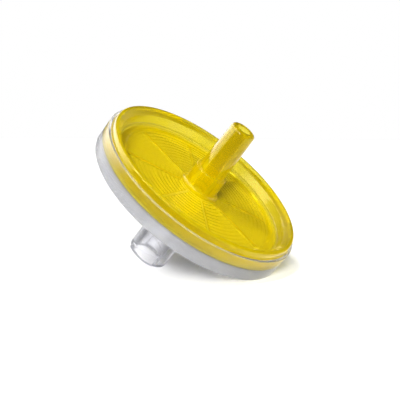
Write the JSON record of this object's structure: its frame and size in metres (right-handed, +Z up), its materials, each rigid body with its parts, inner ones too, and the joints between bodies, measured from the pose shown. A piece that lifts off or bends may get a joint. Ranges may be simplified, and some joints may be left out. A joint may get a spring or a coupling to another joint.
{
  "type": "syringe filter",
  "caption": "Disc-shaped syringe filter: clear inlet housing with a lugged luer hub, transparent yellow outlet housing with a luer slip nozzle, white membrane between them.",
  "frame": {"origin": "centre of the bounding box's bottom face, on the flat surface the filter lies on", "axes": "+Z up; +Y across the disc, level, along the line the disc tips about; +X level, towards the side the outlet nozzle leans to"},
  "size_m": [0.0282, 0.034, 0.0256],
  "materials": {
    "clear_plastic": "clear moulded plastic, glossy",
    "membrane_white": "matt white porous membrane",
    "yellow_plastic": "transparent yellow moulded plastic, glossy"
  },
  "bodies": {
    "root": {"lower_housing": "clear_plastic", "membrane": "membrane_white", "upper_housing": "yellow_plastic"}
  },
  "joints": []
}
